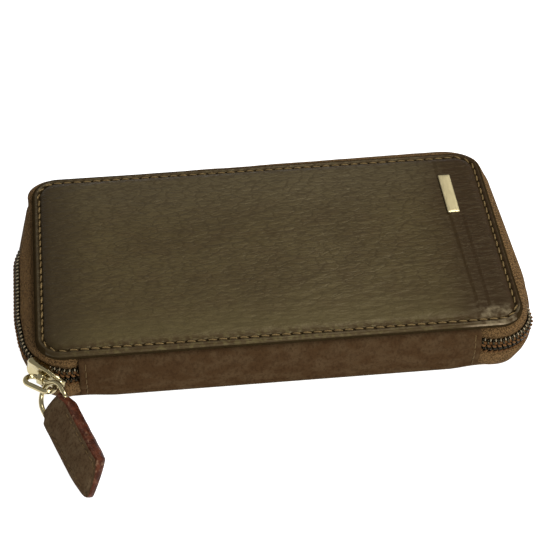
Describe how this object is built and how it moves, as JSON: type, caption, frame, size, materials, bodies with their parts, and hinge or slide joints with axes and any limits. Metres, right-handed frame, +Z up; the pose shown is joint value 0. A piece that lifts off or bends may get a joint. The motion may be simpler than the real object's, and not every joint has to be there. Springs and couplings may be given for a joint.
{
  "type": "zip-around purse",
  "caption": "Long zip-around leather purse: two padded covers on a leather spine, closed by a coil zip with a gold slider, link, D-ring and leather pull tab.",
  "frame": {"origin": "centre of the flat underside of the bottom cover, on the surface that the purse lies on", "axes": "+X along the long side, +Y away from the spine towards the zip's long side, +Z up through the covers"},
  "size_m": [0.1908, 0.1521, 0.0244],
  "materials": {
    "cover_leather": "fine-grained olive-brown leather with a soft satin sheen, padded",
    "spine_leather": "smooth matt reddish-brown leather",
    "lining_fabric": "dark brown twill lining",
    "pocket_leather": "thin brown leather with folded top edges",
    "padding_foam": "closed-cell padding sheet",
    "stiffener_board": "grey-brown bonded board",
    "seam_thread": "tan twisted sewing thread",
    "zip_tape": "mid-brown herringbone zip tape",
    "zip_coil": "dark brown nylon coil",
    "gold_metal": "pale gold plate, polished",
    "tab_edge": "glossy dark red painted edge"
  },
  "bodies": {
    "bottom_cover": {"bottom_cover_leather": "cover_leather", "bottom_cover_foam": "padding_foam", "bottom_cover_board": "stiffener_board", "bottom_cover_lining": "lining_fabric", "bottom_cover_stitching": "seam_thread", "bottom_slip_pocket": "pocket_leather", "bottom_card_pockets": "pocket_leather", "lower_tape": "zip_tape", "lower_coil": "zip_coil"},
    "spine": {"spine_leather": "spine_leather", "spine_lining": "lining_fabric", "spine_stitching": "seam_thread", "upper_tape_ends": "zip_tape", "lower_tape_ends": "zip_tape", "upper_coil_ends": "zip_coil", "lower_coil_ends": "zip_coil"},
    "top_cover": {"top_cover_leather": "cover_leather", "top_cover_foam": "padding_foam", "top_cover_board": "stiffener_board", "top_cover_lining": "lining_fabric", "top_cover_stitching": "seam_thread", "top_slip_pocket": "pocket_leather", "top_card_pockets": "pocket_leather", "upper_tape": "zip_tape", "upper_coil": "zip_coil", "name_plate": "gold_metal", "name_plate_prongs": "gold_metal", "name_plate_washers": "gold_metal"},
    "slider": {"slider_body": "gold_metal", "slider_bridge": "gold_metal"},
    "link": {"pull_link": "gold_metal"},
    "ring": {"pull_ring": "gold_metal"},
    "pull_tab": {"pull_tab_leather": "spine_leather", "pull_tab_core": "tab_edge", "pull_tab_stitching": "seam_thread"}
  },
  "joints": [
    {"name": "spine_fold", "type": "hinge", "parent": "bottom_cover", "child": "spine", "pos_m": [0, -0.0474, 0.0035], "axis": [1, 0, 0], "range_deg": [0, 90]},
    {"name": "cover_open", "type": "hinge", "parent": "spine", "child": "top_cover", "pos_m": [0, -0.0474, 0.0202], "axis": [1, 0, 0], "range_deg": [0, 90]},
    {"name": "slider_travel", "type": "hinge", "parent": "spine", "child": "slider", "pos_m": [-0.07255, -0.02793, 0.01185], "axis": [0, 0, -1], "range_deg": [-2, 25]},
    {"name": "link_swing", "type": "hinge", "parent": "slider", "child": "link", "pos_m": [-0.08683, -0.04758, 0.01185], "axis": [0.809, -0.5878, 0], "range_deg": [-12, 40]},
    {"name": "ring_swing", "type": "hinge", "parent": "link", "child": "ring", "pos_m": [-0.08989, -0.0518, 0.01325], "axis": [0.809, -0.5878, 0], "range_deg": [-8, 25]},
    {"name": "tab_swing", "type": "hinge", "parent": "ring", "child": "pull_tab", "pos_m": [-0.08165, -0.06125, 0.01117], "axis": [-0.5751, -0.104, -0.8114], "range_deg": [-80, 80]}
  ]
}
